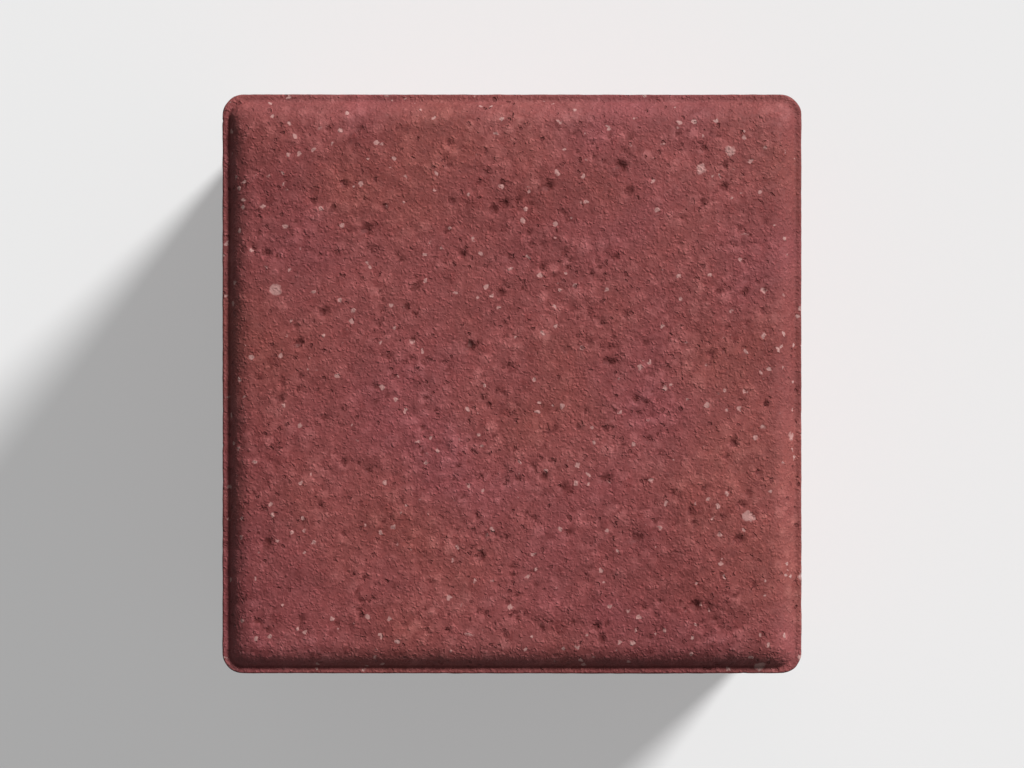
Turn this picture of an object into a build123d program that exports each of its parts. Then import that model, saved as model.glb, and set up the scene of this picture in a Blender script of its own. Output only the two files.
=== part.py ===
"""Square concrete paving stone, pressed in one piece.

Units are millimetres, +Z is up and the origin is the centre of the base. The sides face +X, +Y, -X and -Y.
From the outside in, the top has a narrow level ledge, a rolled edge, a barely sloping crown and a flat field.
"""

from build123d import *

import os
from math import cos, radians, sin

# Plan: stones are laid on a square module, and their spacer ribs keep the joint open
laying_module = 100.0
joint_width = 2.0
corner_radius = 3.6

stone_height = 60.0

# Ledge that the pressing shoe leaves at the foot of the rolled edge
ledge_width = 1.2
ledge_rounding = 0.3

# Rolled edge: a convex arc in section, steepest at the ledge, the same all round
edge_radius = 5.2
edge_foot_slope = 62.0
edge_section_count = 6

# Crown: the shallow slope between the rolled edge and the flat field
crown_width = 14.5
crown_slope = 3.5
crown_section_count = 3

# Spacer ribs: level with the base, ramped at the top and the same on every side
side_count = 4
ribs_per_side = 2
rib_from_corner = 23.0
rib_from_top = 18.0
rib_root_width = 12.0
rib_tip_width = 9.0
rib_ramp = 5.0

# Sizes that follow from those above
stone_side = laying_module - joint_width
top_corner_radius = corner_radius - ledge_width
edge_width = edge_radius * (sin(radians(edge_foot_slope)) - sin(radians(crown_slope)))
edge_drop = edge_radius * (cos(radians(crown_slope)) - cos(radians(edge_foot_slope)))
crown_inset = ledge_width + edge_width
crown_radius = crown_width / sin(radians(crown_slope))
crown_drop = crown_radius * (1 - cos(radians(crown_slope)))
crown_foot_height = stone_height - crown_drop
ledge_height = crown_foot_height - edge_drop
rib_depth = joint_width / 2
rib_height = stone_height - rib_from_top
rib_spacing = (stone_side - 2 * rib_from_corner) / (ribs_per_side - 1)


def slopes(first, last, count):
    """Evenly spaced surface slopes from first to last, in degrees."""
    return [first + (last - first) * step / (count - 1) for step in range(count)]


def arc_point(slope, arc_radius, inner_slope, inner_inset, inner_height):
    """Inset from the side and height of the point where an arc of the top has this slope.

    The arc starts at inner_slope, inner_inset in from the side and inner_height up, and steepens outwards.
    """
    inset = inner_inset - arc_radius * (sin(radians(slope)) - sin(radians(inner_slope)))
    height = inner_height - arc_radius * (cos(radians(inner_slope)) - cos(radians(slope)))
    return inset, height


with BuildPart() as spacer_rib:
    with BuildSketch(Plane.YZ.offset(stone_side / 2)):
        Rectangle(rib_root_width, rib_height, align=(Align.CENTER, Align.MIN))
    with BuildSketch(Plane.YZ.offset(stone_side / 2 + rib_depth)):
        Rectangle(rib_tip_width, rib_height - rib_ramp, align=(Align.CENTER, Align.MIN))
    loft()

with BuildPart() as paving_stone:
    # Body, up to the ledge
    with BuildSketch():
        RectangleRounded(stone_side, stone_side, corner_radius)
    extrude(amount=ledge_height)
    fillet(paving_stone.faces().sort_by(Axis.Z)[-1].edges(), ledge_rounding)

    # Rolled edge, from the ledge up to the crown
    for slope in slopes(edge_foot_slope, crown_slope, edge_section_count):
        inset, height = arc_point(slope, edge_radius, crown_slope, crown_inset, crown_foot_height)
        with BuildSketch(Plane.XY.offset(height)):
            RectangleRounded(stone_side - 2 * inset, stone_side - 2 * inset, top_corner_radius)
    loft()

    # Crown, up to the flat field
    for slope in slopes(crown_slope, 0, crown_section_count):
        inset, height = arc_point(slope, crown_radius, 0, crown_inset + crown_width, stone_height)
        with BuildSketch(Plane.XY.offset(height)):
            RectangleRounded(stone_side - 2 * inset, stone_side - 2 * inset, top_corner_radius)
    loft()

    # Spacer ribs
    with PolarLocations(0, side_count):
        with GridLocations(0, rib_spacing, 1, ribs_per_side):
            add(spacer_rib.part)

paving_stone.part.label = "paving_stone"
os.makedirs("parts", exist_ok=True)
export_step(paving_stone.part, "parts/paving_stone.step")
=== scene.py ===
"""Looks of a square concrete paving stone: one finely modelled, weathered skin over the solid, in metres."""

from math import acos, asin, cos, pi, radians, sin
from random import Random

import bpy
import numpy as np
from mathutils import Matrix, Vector, kdtree, noise


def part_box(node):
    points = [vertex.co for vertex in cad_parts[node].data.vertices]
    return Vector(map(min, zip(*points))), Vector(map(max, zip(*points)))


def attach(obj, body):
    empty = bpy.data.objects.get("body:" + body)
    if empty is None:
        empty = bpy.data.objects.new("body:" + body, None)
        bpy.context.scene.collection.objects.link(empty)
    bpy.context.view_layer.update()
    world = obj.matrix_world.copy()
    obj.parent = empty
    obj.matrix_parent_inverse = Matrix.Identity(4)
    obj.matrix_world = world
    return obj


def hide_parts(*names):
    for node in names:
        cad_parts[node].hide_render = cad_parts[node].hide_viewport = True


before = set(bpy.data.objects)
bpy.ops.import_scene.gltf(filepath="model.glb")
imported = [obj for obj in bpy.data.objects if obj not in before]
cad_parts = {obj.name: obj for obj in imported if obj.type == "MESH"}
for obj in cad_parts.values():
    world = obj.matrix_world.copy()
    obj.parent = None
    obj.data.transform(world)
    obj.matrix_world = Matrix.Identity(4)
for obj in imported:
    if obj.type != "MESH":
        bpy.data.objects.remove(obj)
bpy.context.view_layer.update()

mm = 0.001

# The solid's own sizes, which the skin follows
node_name = "paving_stone"
low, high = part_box(node_name)
laying_module = high.x - low.x
stone_height = high.z
joint_width = 2 * mm
corner_radius = 3.6 * mm
ledge_width = 1.2 * mm
ledge_rounding = 0.3 * mm
edge_radius = 5.2 * mm
edge_foot_slope = radians(62)
crown_width = 14.5 * mm
crown_slope = radians(3.5)
rib_from_corner = 23 * mm
rib_from_top = 18 * mm
rib_root_width = 12 * mm
rib_tip_width = 9 * mm
rib_ramp = 5 * mm
base_rounding = 0.5 * mm

# Sizes that follow from those above
half_side = (laying_module - joint_width) / 2
top_corner_radius = corner_radius - ledge_width
edge_width = edge_radius * (sin(edge_foot_slope) - sin(crown_slope))
crown_inset = ledge_width + edge_width
crown_radius = crown_width / sin(crown_slope)
crown_foot_height = stone_height - crown_radius * (1 - cos(crown_slope))
ledge_height = crown_foot_height - edge_radius * (cos(crown_slope) - cos(edge_foot_slope))
rib_depth = joint_width / 2
rib_height = stone_height - rib_from_top
rib_distance = half_side - rib_from_corner
rib_bends = [
    rib_distance + side * width / 2
    for side in (-1, 1) for width in (rib_root_width, rib_tip_width)
]

# Fineness of the mesh: the sides have half as many points around as the top, and the base half of that
rounding_steps = 3
ledge_steps = 3
edge_steps = 12
field_steps = 98
wall_rows = 80

# Every random draw starts from this number, so that each run gives the same stone
seed = 7

# Colours of the concrete
dark_cloud, pale_cloud = (0.210, 0.041, 0.0385, 1), (0.269, 0.064, 0.061, 1)
pale_grain = (0.46, 0.24, 0.22, 1)
dust = (0.30, 0.125, 0.115, 1)
# Dark colour of pits, pores and voids: partly their own deeper colour, partly painted shade inside them
hole_colour_and_shade = (0.115, 0.013, 0.012, 1)

# Colours that tint those above by multiplying them: the darker a grain, the deeper its red
plum, brown = (0.98, 0.945, 1.06, 1), (1.02, 1.055, 0.94, 1)
darker, paler = (0.76, 0.58, 0.58, 1), (1.24, 1.46, 1.46, 1)
# Greyer tint of the rolled edge on every side: partly wear, partly a painted sheen
wear_and_sheen_tint = (1.02, 1.18, 1.18, 1)


def arc_drop(inset, radius, inner_slope, inner_inset):
    """Drop below its inner end of a convex arc of the profile, at an inset from the side."""
    sine = sin(inner_slope) + (inner_inset - inset) / radius
    return radius * (cos(inner_slope) - cos(asin(sine)))


def top_height(inset):
    """Height of the pressed top at an inset from the side."""
    if inset < ledge_rounding:
        return ledge_height - ledge_rounding + ledge_rounding * sin(acos(1 - inset / ledge_rounding))
    if inset < ledge_width:
        return ledge_height
    if inset < crown_inset:
        return crown_foot_height - arc_drop(inset, edge_radius, crown_slope, crown_inset)
    if inset < crown_inset + crown_width:
        return stone_height - arc_drop(inset, crown_radius, 0, crown_inset + crown_width)
    return stone_height


def ring_insets():
    """Insets of the top's rings of points, from the side to the middle."""
    turns = np.linspace(0, pi / 2, rounding_steps, endpoint=False)
    rounding = ledge_rounding * (1 - np.cos(turns))
    ledge = np.linspace(ledge_rounding, ledge_width, ledge_steps, endpoint=False)
    slopes = np.linspace(edge_foot_slope, crown_slope, edge_steps, endpoint=False)
    edge = crown_inset - edge_radius * (np.sin(slopes) - sin(crown_slope))
    field = np.linspace(crown_inset, half_side, field_steps + 1)
    return np.concatenate([rounding, ledge, edge, field])


def ring_corner_radius(inset):
    """Corner radius in plan of a ring: it shrinks over the ledge, and to nothing over the crown."""
    if inset < ledge_width:
        return corner_radius - inset
    return top_corner_radius * min(1, max(0, 1 - (inset - crown_inset) / crown_width))


def outline_point(half, radius, share):
    """Distances along and across a side's axis, at a share of the way from its middle to the corner."""
    length = share * (half - radius + radius * pi / 4)
    straight = half - radius
    if length <= straight:
        return half, length, 0.0
    angle = (length - straight) / radius
    return straight + radius * cos(angle), straight + radius * sin(angle), angle


def sheet_points(insets, height_at):
    """Square grid of points whose rings are rounded squares, and the outline's direction at each of them."""
    rings = len(insets) - 1
    size = 2 * rings + 1
    points = np.zeros((size, size, 3))
    directions = np.zeros((size, size, 2))
    for column in range(size):
        for row in range(size):
            i, j = column - rings, row - rings
            ring = max(abs(i), abs(j))
            inset = insets[rings - ring]
            share = min(abs(i), abs(j)) / ring if ring else 0
            along, across, angle = outline_point(half_side - inset, ring_corner_radius(inset), share)
            facing = (cos(angle), sin(angle))
            if abs(j) > abs(i):
                along, across = across, along
                facing = facing[::-1]
            signs = (1 if i >= 0 else -1, 1 if j >= 0 else -1)
            points[column, row] = (signs[0] * along, signs[1] * across, height_at(inset))
            directions[column, row] = (signs[0] * facing[0], signs[1] * facing[1])
    return points, directions


def border(grid):
    """The outermost entries of a square grid, in order, counterclockwise."""
    return np.concatenate([grid[:-1, 0], grid[-1, :-1], grid[:0:-1, -1], grid[0, :0:-1]])


def rib_offset(across, height):
    """How far a spacer rib stands out of a side, at a distance from the side's middle and a height."""
    flank = (rib_root_width - 2 * abs(across - rib_distance)) / (rib_root_width - rib_tip_width)
    ramp = (rib_height - height) / rib_ramp
    return rib_depth * max(0, min(1, flank, ramp))


def moved_onto(values, targets):
    """The values, each of the targets taking the place of those nearest to it."""
    moved = values.copy()
    for target in targets:
        gaps = np.abs(values - target)
        moved[np.isclose(gaps, gaps.min())] = target
    return moved


def wall_levels():
    """Height and inset of each row of points on the sides, from under the ledge to the base."""
    straight = np.linspace(ledge_height - ledge_rounding, base_rounding, wall_rows + 1)[1:]
    straight = moved_onto(straight, [rib_height, rib_height - rib_ramp])
    angles = [pi / 2 * step / rounding_steps for step in range(1, rounding_steps + 1)]
    rounding = [(base_rounding * (1 - sin(angle)), base_rounding * (1 - cos(angle))) for angle in angles]
    return [(height, 0.0) for height in straight] + rounding


def grid_faces(numbers, upwards):
    """Faces between the points of a square grid, facing up or down."""
    corners = [numbers[:-1, :-1], numbers[1:, :-1], numbers[1:, 1:], numbers[:-1, 1:]]
    return np.stack(corners if upwards else corners[::-1], -1).reshape(-1, 4)


def band_faces(upper, lower):
    """Faces between two loops that have as many points as each other."""
    return np.stack([upper, lower, np.roll(lower, -1), np.roll(upper, -1)], -1)


def halving_faces(fine, coarse):
    """Faces from a loop down to one that has half as many points."""
    start, middle, end = fine[::2], fine[1::2], np.roll(fine[::2], -1)
    after = np.roll(coarse, -1)
    return np.concatenate([
        np.stack([start, coarse, middle], -1),
        np.stack([middle, coarse, after], -1),
        np.stack([middle, after, end], -1),
    ])


def skin_mesh():
    """Closed mesh that follows the solid: pressed top, sides with ribs, and base."""
    insets = ring_insets()
    top, directions = sheet_points(insets, top_height)
    outline, facing = border(top)[::2, :2], border(directions)[::2]

    # Points stand on the bends of the ribs, so that their edges stay straight
    across = moved_onto(np.abs(outline).min(axis=1), rib_bends)
    on_axis = np.arange(len(outline)), np.abs(outline).argmin(axis=1)
    outline[on_axis] = np.sign(outline[on_axis]) * across

    rows = []
    for height, inset in wall_levels():
        offset = np.array([rib_offset(distance, height) for distance in across]) - inset
        plan = outline + facing * offset[:, None]
        rows.append(np.column_stack([plan, np.full(len(plan), height)]))
    base_rings = (len(insets) - 1) // 4
    base, _ = sheet_points(np.linspace(2 * base_rounding, half_side, base_rings + 1), lambda inset: 0.0)

    top_numbers = np.arange(top.shape[0] ** 2).reshape(top.shape[:2])
    row_numbers = top_numbers.size + np.arange(len(rows) * len(outline)).reshape(len(rows), -1)
    above_base = top_numbers.size + row_numbers.size
    base_numbers = above_base + np.arange(base.shape[0] ** 2).reshape(base.shape[:2])
    faces = grid_faces(top_numbers, True).tolist()
    faces += halving_faces(border(top_numbers), row_numbers[0]).tolist()
    for upper, lower in zip(row_numbers, row_numbers[1:]):
        faces += band_faces(upper, lower).tolist()
    faces += halving_faces(row_numbers[-1], border(base_numbers)).tolist()
    faces += grid_faces(base_numbers, False).tolist()

    mesh = bpy.data.meshes.new("paving_stone_skin")
    points = np.concatenate([top.reshape(-1, 3), *rows, base.reshape(-1, 3)])
    mesh.from_pydata(points.tolist(), [], faces)
    mesh.update()
    return mesh


def fractal(points, size, octaves, stretch=(1, 1, 1)):
    """Fractal noise of about 0 to 1 at each point, whose largest features are as long as size."""
    smoothness, octave_step = 1.0, 2.0
    scaled = points / (size * np.array(stretch))
    values = [noise.fractal(Vector(point), smoothness, octave_step, octaves) for point in scaled]
    return 0.5 + 0.5 * np.array(values)


def hollows(points, size, octaves, stretch=(1, 1, 1)):
    """Fractal noise of about -0.35 to 0.65 at each point: what is under 0 stays level with the solid."""
    level_share = 0.35
    return fractal(points, size, octaves, stretch) - level_share


def on_top(draw, margin):
    """Random place on the pressed top, at least a margin in from the sides."""
    reach = half_side - margin
    x, y = draw.uniform(-reach, reach), draw.uniform(-reach, reach)
    return Vector((x, y, top_height(half_side - max(abs(x), abs(y)))))


def in_patches(draw, margin):
    """Random place on the pressed top, more often in some patches than in others."""
    patch_size = 9 * mm
    while True:
        place = on_top(draw, margin)
        if noise.noise(place / patch_size) > draw.uniform(-0.4, 0.3):
            return place


def on_side(draw, lowest, highest):
    """Random place on one of the sides, between two heights."""
    across, height = draw.uniform(-half_side, half_side), draw.uniform(lowest, highest)
    side = draw.randrange(4)
    outward = half_side if side < 2 else -half_side
    return Vector((outward, across, height) if side % 2 else (across, outward, height))


def sand_grains(draw):
    """Place, radius, height and tint of each sand grain in the face of the top."""
    grain_count = 4600
    smallest, largest, usual = 0.4, 1.4, 0.65
    flattest, roundest = 0.10, 0.25
    grains = []
    for _ in range(grain_count):
        radius = draw.triangular(smallest, largest, usual) * mm
        place = on_top(draw, ledge_rounding)
        height = draw.uniform(flattest, roundest) * radius
        grains.append((place, radius, height, draw.gauss(0, 1)))
    return grains


def pits_and_chips(draw):
    """Place, radius, depth and tint of each pit and chip.

    Each group has its number of spots, their place, and the ranges of their radii and depths in millimetres.
    """
    below_ledge = ledge_height - 2 * mm
    groups = [
        # Pits in the face: large ones anywhere and small ones in patches
        (30, lambda: on_top(draw, crown_inset), (0.7, 1.2), (0.35, 0.65)),
        (420, lambda: in_patches(draw, crown_inset), (0.4, 0.75), (0.2, 0.45)),
        # Chips out of the ledge
        (8, lambda: on_side(draw, ledge_height, ledge_height), (0.4, 0.7), (0.05, 0.12)),
        # Pits in the sides, small and large
        (200, lambda: on_side(draw, 0, below_ledge), (0.8, 1.2), (0.3, 0.7)),
        (20, lambda: on_side(draw, 0, below_ledge), (1.1, 1.6), (0.4, 0.8)),
        # Chips along the foot
        (16, lambda: on_side(draw, 0, 0), (1.0, 2.2), (0.15, 0.4)),
    ]
    return [
        (place(), draw.uniform(*radii) * mm, draw.uniform(*depths) * mm, 0)
        for count, place, radii, depths in groups for _ in range(count)
    ]


def uneven_tree(points):
    """Tree of the points, each moved a little, so that round spots get uneven outlines."""
    wobble_size, wobble_reach = 1.3 * mm, 0.5 * mm
    tree = kdtree.KDTree(len(points))
    for number, point in enumerate(points):
        shift = noise.noise_vector(Vector(point / wobble_size)) * wobble_reach
        tree.insert(Vector(point) + shift, number)
    tree.balance()
    return tree


def domes(tree, count, spots):
    """Height and tint, at each point, of the highest dome over it."""
    heights, tints = np.zeros(count), np.zeros(count)
    for place, radius, height, own_tint in spots:
        centre = tree.find(place)[0]
        for _, number, distance in tree.find_range(centre, radius):
            dome = height * (1 - (distance / radius) ** 2)
            if dome > heights[number]:
                heights[number], tints[number] = dome, own_tint
    return heights, tints


def store(mesh, name, values):
    """Keeps a value for each point, for the material to read."""
    mesh.attributes.new(name, "FLOAT", "POINT").data.foreach_set("value", values)


def facing_share(component):
    """How far the surface faces a direction, from 0 to 1, by its normal's component that way."""
    least, span = 0.1, 0.35
    return np.clip((component - least) / span, 0, 1)


def unevenness(points, field, patches, open_face, side):
    """Depth of the hollows at each point, from long waves down to the fine roughness and the drag marks."""
    wave_size, lump_size, rough_size, drag_size = 20 * mm, 3.5 * mm, 1.5 * mm, 2.2 * mm
    waves = 0.10 * mm * hollows(points, wave_size, 2)
    lumps = (0.04 + 0.09 * field + 0.18 * open_face) * mm * hollows(points, lump_size, 3)
    roughness = (0.03 + 0.10 * field * patches + 0.22 * open_face) * mm * hollows(points, rough_size, 2)
    drags = 0.30 * mm * side * hollows(points, drag_size, 3, stretch=(1, 1, 8))
    return waves + lumps + roughness + drags


def weather(mesh):
    """Roughens the skin inwards from the solid, and records grains, pits, and the rolled edge's wear and
    painted sheen for the material.
    """
    arris_width, arris_share = 2.5 * mm, 0.15
    patch_size = 16 * mm
    wear_and_sheen_reach = crown_inset + 1.5 * mm
    full_grain, full_pit = 0.15 * mm, 0.35 * mm

    count = len(mesh.vertices)
    points, normals = np.zeros(count * 3), np.zeros(count * 3)
    mesh.vertices.foreach_get("co", points)
    mesh.vertex_normals.foreach_get("vector", normals)
    points, normals = points.reshape(-1, 3), normals.reshape(-1, 3)

    inset = half_side - np.abs(points[:, :2]).max(axis=1)
    top, base = facing_share(normals[:, 2]), facing_share(-normals[:, 2])
    from_arris = np.maximum(np.minimum(points[:, 2], ledge_height - points[:, 2]), inset)
    open_face = (1 - top) * np.clip(from_arris / arris_width, arris_share, 1)
    side = open_face * (1 - base)
    field = top * np.clip((inset - ledge_width) / (crown_inset - ledge_width), 0, 1)

    noise.seed_set(seed)
    draw = Random(seed)
    tree = uneven_tree(points)
    grains, tints = domes(tree, count, sand_grains(draw))
    pits, _ = domes(tree, count, pits_and_chips(draw))

    # The sand stands up from a ground below the solid's face, in patches and mostly on the field
    patches = np.clip(1.6 * fractal(points, patch_size, 2) - 0.3, 0.25, 1)
    fullness = 0.35 + 0.65 * field
    grains *= patches * fullness
    sand = (grains.max() * fullness - grains) * top
    depths = np.maximum(unevenness(points, field, patches, open_face, side) + sand, 0) + pits

    mesh.vertices.foreach_set("co", (points - normals * depths[:, None]).ravel())
    mesh.polygons.foreach_set("use_smooth", [True] * len(mesh.polygons))
    mesh.update()

    rolled = np.clip(1 - (inset - ledge_width) / (wear_and_sheen_reach - ledge_width), 0, 1)
    store(mesh, "grain", np.clip(grains / full_grain, 0, 1))
    store(mesh, "tint", tints)
    store(mesh, "pit", np.clip(pits / full_pit, 0, 1))
    # Mask of the rolled edge for its greyer tint, which is partly wear and partly painted sheen
    store(mesh, "wear_and_sheen", np.sqrt(rolled) * top)
    store(mesh, "open", 1 - top)


def add_node(tree, kind, inputs, **settings):
    """Adds a shader node; inputs are values or the sockets of other nodes."""
    node = tree.nodes.new(kind)
    for name, value in settings.items():
        setattr(node, name, value)
    for name, value in inputs.items():
        if isinstance(value, bpy.types.NodeSocket):
            tree.links.new(value, node.inputs[name])
        else:
            node.inputs[name].default_value = value
    return node


def noise_at(tree, place, size, detail):
    """Noise from 0 to 1 whose largest features are as long as size."""
    inputs = {"Vector": place, "Scale": 1 / size, "Detail": detail, "Roughness": 0.55}
    return add_node(tree, "ShaderNodeTexNoise", inputs).outputs["Fac"]


def cells_at(tree, place, size):
    """Scattered round cells about as far apart as size."""
    return add_node(tree, "ShaderNodeTexVoronoi", {"Vector": place, "Scale": 1 / size})


def remap(tree, value, taken, given=(0, 1)):
    """Carries a value from the range that is taken to the one that is given, and keeps it there."""
    inputs = {
        "Value": value,
        "From Min": taken[0], "From Max": taken[1],
        "To Min": given[0], "To Max": given[1],
    }
    return add_node(tree, "ShaderNodeMapRange", inputs).outputs["Result"]


def calculate(tree, operation, first, second):
    """Result of a sum, product or other operation on two values."""
    return add_node(tree, "ShaderNodeMath", {0: first, 1: second}, operation=operation).outputs[0]


def blend(tree, share, first, second, mode="MIX"):
    """Mixes two colours."""
    inputs = {0: share, 6: first, 7: second}
    return add_node(tree, "ShaderNodeMix", inputs, data_type="RGBA", blend_type=mode).outputs[2]


def grey(value):
    """A grey of that linear value."""
    return (value, value, value, 1)


def attribute(tree, name):
    """Value that the mesh stores at its points."""
    return add_node(tree, "ShaderNodeAttribute", {}, attribute_name=name).outputs["Fac"]


def uneven_place(tree, place, size, reach):
    """The place, shifted at random by up to about reach, so that round spots get uneven outlines."""
    noise_middle, noise_reach = (0.5, 0.5, 0.5), 0.25
    inputs = {"Vector": place, "Scale": 1 / size, "Detail": 1}
    shift = add_node(tree, "ShaderNodeTexNoise", inputs).outputs["Color"]
    centred = add_node(tree, "ShaderNodeVectorMath", {0: shift, 1: noise_middle}, operation="SUBTRACT")
    inputs = {0: centred.outputs[0], "Scale": reach / noise_reach}
    scaled = add_node(tree, "ShaderNodeVectorMath", inputs, operation="SCALE")
    return add_node(tree, "ShaderNodeVectorMath", {0: place, 1: scaled.outputs[0]}).outputs[0]


def random_of(tree, cells):
    """A random number from 0 to 1 for each cell."""
    return add_node(tree, "ShaderNodeTexWhiteNoise", {"Vector": cells.outputs["Position"]}).outputs["Value"]


def scatter(tree, place, size, share, radius):
    """Spots of a radius, in a share of the cells: 1 in the core of a spot and 0 outside it."""
    core_share = 0.7
    cells = cells_at(tree, place, size)
    picked = calculate(tree, "LESS_THAN", random_of(tree, cells), share)
    spot = remap(tree, cells.outputs["Distance"], (core_share * radius / size, radius / size), (1, 0))
    return calculate(tree, "MULTIPLY", picked, spot)


def bump(tree, height, depth, strength, normal=None):
    """Relief of a depth on top of another relief."""
    inputs = {"Height": height, "Distance": depth, "Strength": strength}
    if normal:
        inputs["Normal"] = normal
    return add_node(tree, "ShaderNodeBump", inputs).outputs["Normal"]


def tint(tree, colour, share, multiplier):
    """Multiplies a colour by another, by a share."""
    return blend(tree, share, colour, multiplier, mode="MULTIPLY")


def mottled_paste(tree, place):
    """Light and dark clouds, a slight drift from plum to brown within them, and small stains."""
    inputs = {"Vector": place, "Location": (212 * mm, 0, 0)}
    shifted = add_node(tree, "ShaderNodeMapping", inputs).outputs["Vector"]
    clouds = remap(tree, noise_at(tree, shifted, size=22 * mm, detail=3), (0.3, 0.7))
    colour = blend(tree, clouds, dark_cloud, pale_cloud)
    drift = remap(tree, noise_at(tree, shifted, size=30 * mm, detail=2), (0.35, 0.65))
    colour = tint(tree, colour, 1.0, blend(tree, drift, plum, brown))
    stains = remap(tree, noise_at(tree, shifted, size=5 * mm, detail=4), (0.3, 0.7), (0.9, 1.1))
    return tint(tree, colour, 1.0, stains)


def fine_sand(tree, uneven):
    """Sand too fine for the mesh: a random shade for each grain, and its rounded height."""
    cells = cells_at(tree, uneven, size=0.62 * mm)
    return random_of(tree, cells), remap(tree, cells.outputs["Distance"], (0.15, 0.65), (1, 0))


def add_sand(tree, colour, place, uneven, shade, dome):
    """Sand paler than the paste, which is darker and redder low between the grains, partly as painted shade;
    each grain of its own tone, with powder and a few pale grains.
    """
    tint_reach = 2.5
    # Low paste between the grains darker and redder, grain tops paler: partly their own colours, partly
    # painted shade in the hollows
    colour = tint(tree, colour, 0.5, blend(tree, attribute(tree, "grain"), darker, paler))
    own_tone = remap(tree, attribute(tree, "tint"), (-tint_reach, tint_reach))
    colour = tint(tree, colour, 1.0, blend(tree, own_tone, darker, paler))
    colour = tint(tree, colour, dome, blend(tree, shade, darker, paler))
    powder = remap(tree, noise_at(tree, place, size=0.35 * mm, detail=2), (0.3, 0.7), (0.9, 1.1))
    colour = tint(tree, colour, 1.0, powder)
    small_grains = scatter(tree, uneven, size=2 * mm, share=0.35, radius=0.45 * mm)
    large_grains = scatter(tree, uneven, size=7 * mm, share=0.2, radius=1.1 * mm)
    pale_grains = calculate(tree, "MAXIMUM", small_grains, large_grains)
    return blend(tree, calculate(tree, "MULTIPLY", pale_grains, 0.8), colour, pale_grain)


def add_wear_sheen_and_dust(tree, colour, place, open_face):
    """Greys the rolled edge a little, partly as wear and partly as a painted sheen, and dusts the sides in
    upright streaks.
    """
    rubbing_and_sheen = remap(tree, noise_at(tree, place, size=4 * mm, detail=4), (0.3, 0.65), (0.3, 0.8))
    # Painted sheen, together with wear, greys the rolled edge
    colour = tint(tree, colour, calculate(tree, "MULTIPLY", rubbing_and_sheen, attribute(tree, "wear_and_sheen")), wear_and_sheen_tint)
    inputs = {"Vector": place, "Scale": (1, 1, 0.12)}
    upright = add_node(tree, "ShaderNodeMapping", inputs).outputs["Vector"]
    streaks = remap(tree, noise_at(tree, upright, size=3 * mm, detail=4), (0.35, 0.65), (0, 0.45))
    return blend(tree, calculate(tree, "MULTIPLY", streaks, open_face), colour, dust)


def pores_in_patches(tree, place, uneven):
    """Small round pores, more of them in some patches than in others."""
    patches = remap(tree, noise_at(tree, place, size=9 * mm, detail=2), (0.4, 0.6), (0.25, 1))
    pores = scatter(tree, uneven, size=1.5 * mm, share=0.4, radius=0.4 * mm)
    return calculate(tree, "MULTIPLY", pores, patches)


def open_voids(tree, place, open_face):
    """Irregular voids on the sides and base."""
    voids = remap(tree, noise_at(tree, place, size=2.4 * mm, detail=3), (0.30, 0.34), (1, 0))
    return calculate(tree, "MULTIPLY", voids, open_face)


def add_holes(tree, colour, place, pores, voids, open_face):
    """Darkens the pores, the voids and the pits of the mesh, whose outlines it makes ragged: partly their
    own deeper colour, partly painted shade.
    """
    raggedness = remap(tree, noise_at(tree, place, size=0.7 * mm, detail=2), (0.3, 0.7), (-0.4, 0.4))
    pits = remap(tree, calculate(tree, "ADD", attribute(tree, "pit"), raggedness), (0.4, 0.65))
    holes = calculate(tree, "MAXIMUM", calculate(tree, "MAXIMUM", pores, voids), pits)
    # Darkening in the holes is partly their own colour and partly painted shade, less of it on the sides
    darkness = calculate(tree, "MULTIPLY", holes, remap(tree, open_face, (0, 1), (0.8, 0.5)))
    return blend(tree, darkness, colour, hole_colour_and_shade)


def fine_relief(tree, place, shade, dome, pores, voids, open_face):
    """Relief too fine for the mesh."""
    coarse = calculate(tree, "MULTIPLY", noise_at(tree, place, size=1.1 * mm, detail=4), open_face)
    relief = bump(tree, coarse, depth=0.5 * mm, strength=0.8)
    sand = calculate(tree, "MULTIPLY", dome, remap(tree, shade, (0, 1), (0.2, 1)))
    relief = bump(tree, sand, depth=0.15 * mm, strength=0.8, normal=relief)
    powder = noise_at(tree, place, size=0.3 * mm, detail=3)
    relief = bump(tree, powder, depth=0.05 * mm, strength=0.8, normal=relief)
    relief = bump(tree, remap(tree, pores, (0, 1), (1, 0)), depth=0.18 * mm, strength=1.0, normal=relief)
    return bump(tree, remap(tree, voids, (0, 1), (1, 0)), depth=0.4 * mm, strength=1.0, normal=relief)


def concrete():
    """Through-coloured red concrete with a fine sandy face."""
    material = bpy.data.materials.new("red_concrete")
    material.use_nodes = True
    tree = material.node_tree
    tree.nodes.clear()
    place = add_node(tree, "ShaderNodeTexCoord", {}).outputs["Object"]
    uneven = uneven_place(tree, place, size=0.8 * mm, reach=0.25 * mm)
    open_face = attribute(tree, "open")
    shade, dome = fine_sand(tree, uneven)
    pores = pores_in_patches(tree, place, uneven)
    voids = open_voids(tree, place, open_face)

    colour = mottled_paste(tree, place)
    colour = add_sand(tree, colour, place, uneven, shade, dome)
    colour = add_wear_sheen_and_dust(tree, colour, place, open_face)
    colour = add_holes(tree, colour, place, pores, voids, open_face)
    shader = add_node(tree, "ShaderNodeBsdfPrincipled", {
        "Base Color": colour,
        "Roughness": remap(tree, shade, (0, 1), (0.74, 0.88)),
        "Normal": fine_relief(tree, place, shade, dome, pores, voids, open_face),
    })
    add_node(tree, "ShaderNodeOutputMaterial", {"Surface": shader.outputs["BSDF"]})
    return material


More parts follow.
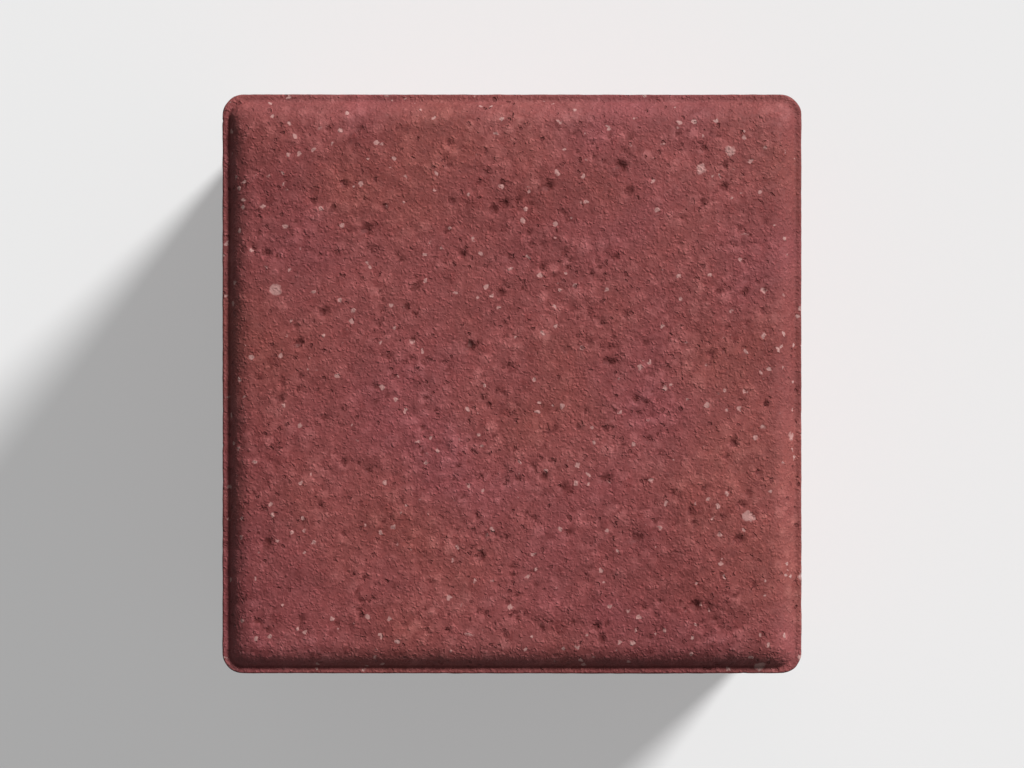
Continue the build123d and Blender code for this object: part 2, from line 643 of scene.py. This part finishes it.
def floor_material():
    """Matt and pale; the camera sees part of its paleness as a glow, which keeps the shadow light."""
    reflected, glow = 0.5, 0.32
    material = bpy.data.materials.new("floor")
    material.use_nodes = True
    tree = material.node_tree
    seen = add_node(tree, "ShaderNodeLightPath", {}).outputs["Is Camera Ray"]
    shader = tree.nodes["Principled BSDF"]
    shader.inputs["Roughness"].default_value = 0.9
    shader.inputs["Base Color"].default_value = grey(reflected)
    shader.inputs["Emission Color"].default_value = grey(1)
    tree.links.new(remap(tree, seen, (0, 1), (0, glow)), shader.inputs["Emission Strength"])
    return material


def link(name, data):
    """Adds an object of that name to the scene."""
    item = bpy.data.objects.new(name, data)
    bpy.context.scene.collection.objects.link(item)
    return item


def make_stone():
    """The weathered skin, in place of the solid."""
    mesh = skin_mesh()
    weather(mesh)
    mesh.materials.append(concrete())
    stone = link("weathered_stone", mesh)
    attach(stone, "root")
    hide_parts(node_name)


def make_floor():
    """Pale floor, large enough for its edge to lie at the horizon."""
    reach = 4.0
    mesh = bpy.data.meshes.new("floor")
    corners = [(-reach, -reach, 0), (reach, -reach, 0), (reach, reach, 0), (-reach, reach, 0)]
    mesh.from_pydata(corners, [], [(0, 1, 2, 3)])
    mesh.materials.append(floor_material())
    link("floor", mesh)


def make_light():
    """Soft key light from beyond the upper right corner, and an even sky, which the camera sees as pale."""
    sky_share, seen_sky = 0.15, 0.8
    elevation, azimuth = radians(32), radians(47)
    sun = bpy.data.lights.new("key", "SUN")
    sun.energy = pi * (1 - sky_share) / sin(elevation)
    sun.angle = radians(11)
    towards = Vector((cos(azimuth) * cos(elevation), sin(azimuth) * cos(elevation), sin(elevation)))
    lamp = link("key", sun)
    lamp.rotation_mode = "QUATERNION"
    lamp.rotation_quaternion = towards.to_track_quat("Z", "Y")

    world = bpy.data.worlds.new("sky")
    bpy.context.scene.world = world
    world.use_nodes = True
    tree = world.node_tree
    tree.nodes.clear()
    seen = add_node(tree, "ShaderNodeLightPath", {}).outputs["Is Camera Ray"]
    strength = remap(tree, seen, (0, 1), (sky_share, seen_sky))
    background = add_node(tree, "ShaderNodeBackground", {"Color": grey(1), "Strength": strength})
    add_node(tree, "ShaderNodeOutputWorld", {"Surface": background.outputs["Background"]})


def make_camera():
    """Camera straight above the stone, with +Y up in the picture."""
    picture_aspect = 1024 / 768
    filled_share = 0.76
    data = bpy.data.cameras.new("camera")
    data.lens = 100
    frame_height = 2 * half_side / filled_share
    distance = frame_height * data.lens / (data.sensor_width / picture_aspect)
    camera = link("camera", data)
    camera.location = (0, 0, stone_height + distance)
    bpy.context.scene.camera = camera


make_stone()
make_floor()
make_light()
make_camera()
bpy.context.scene.view_settings.view_transform = "Standard"
